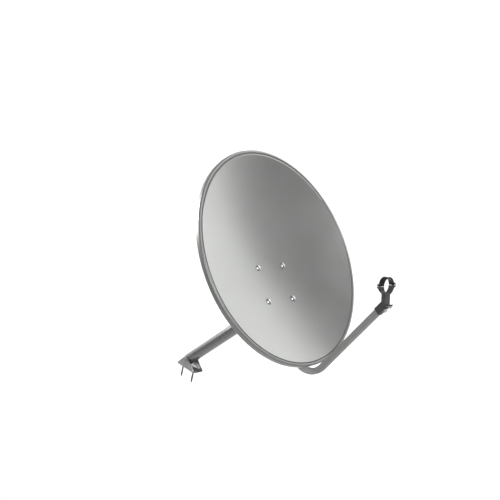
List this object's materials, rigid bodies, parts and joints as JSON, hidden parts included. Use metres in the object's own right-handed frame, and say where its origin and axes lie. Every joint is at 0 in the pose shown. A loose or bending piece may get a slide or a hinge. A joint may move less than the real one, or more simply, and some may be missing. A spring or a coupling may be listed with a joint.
{
  "type": "satellite dish",
  "caption": "Offset satellite dish with rolled rim, tilting foot mast, elevation bracket, bent feed arm and an empty split clamp for a low-noise block.",
  "frame": {"origin": "on the foot's mounting face, midway between its two lag screws", "axes": "+Z out of the mounting face, the dish faces -Y and up, X across the dish"},
  "size_m": [0.6, 0.719, 0.7846],
  "materials": {
    "reflector_paint": "satin light grey powder coat with a metallic cast",
    "bracket_paint": "satin light grey powder coat",
    "arm_paint": "satin grey powder coat",
    "bracket_zinc": "zinc-plated pressed steel, satin",
    "mast_steel": "galvanised tube, satin",
    "fastener_zinc": "bright zinc plate",
    "fastener_black": "black oxide",
    "holder_plastic": "dark grey moulded plastic with a slight sheen",
    "cap_plastic": "black moulded plastic"
  },
  "bodies": {
    "foot": {"foot_bracket": "bracket_zinc", "foot_lag_screws": "fastener_zinc", "foot_washers": "fastener_zinc", "foot_pivot_bolt": "fastener_zinc", "foot_pivot_nut": "fastener_zinc"},
    "mast": {"mast_tube": "mast_steel", "mast_cap": "cap_plastic"},
    "mast_clamp": {"mast_clamp_bracket": "bracket_zinc", "u_bolt_saddles": "bracket_zinc", "u_bolts": "fastener_zinc", "u_bolt_washers": "fastener_zinc", "u_bolt_nuts": "fastener_zinc", "elevation_bolt": "fastener_zinc", "elevation_nut": "fastener_zinc", "lock_bolt": "fastener_zinc", "lock_nut": "fastener_zinc"},
    "dish": {"reflector": "reflector_paint", "reflector_bolts": "fastener_zinc", "reflector_washers": "fastener_zinc", "reflector_nuts": "fastener_zinc", "back_bracket": "bracket_paint", "feed_arm": "arm_paint", "arm_plug": "cap_plastic", "arm_bolts": "fastener_zinc", "arm_nuts": "fastener_zinc", "lnb_holder": "holder_plastic", "holder_screw": "fastener_zinc", "holder_clamp_bolt": "fastener_zinc", "holder_washer": "fastener_zinc", "clamp_nuts": "fastener_black"},
    "clamp_cap": {"lnb_clamp_cap": "holder_plastic", "clamp_screws": "fastener_black"}
  },
  "joints": [
    {"name": "foot_tilt", "type": "hinge", "parent": "foot", "child": "mast", "pos_m": [0, 0, 0.032], "axis": [1, 0, 0], "range_deg": [-125, 40]},
    {"name": "azimuth", "type": "hinge", "parent": "mast", "child": "mast_clamp", "pos_m": [0, -0.26245, 0.31149], "axis": [0, -0.6845, 0.729], "continuous": true},
    {"name": "elevation", "type": "hinge", "parent": "mast_clamp", "child": "dish", "pos_m": [0, -0.29526, 0.28068], "axis": [1, 0, 0], "range_deg": [-4, 76]},
    {"name": "clamp_cap_lift", "type": "slide", "parent": "dish", "child": "clamp_cap", "axis": [0, 0.2538, 0.9673], "range_m": [0, 0.025]}
  ]
}
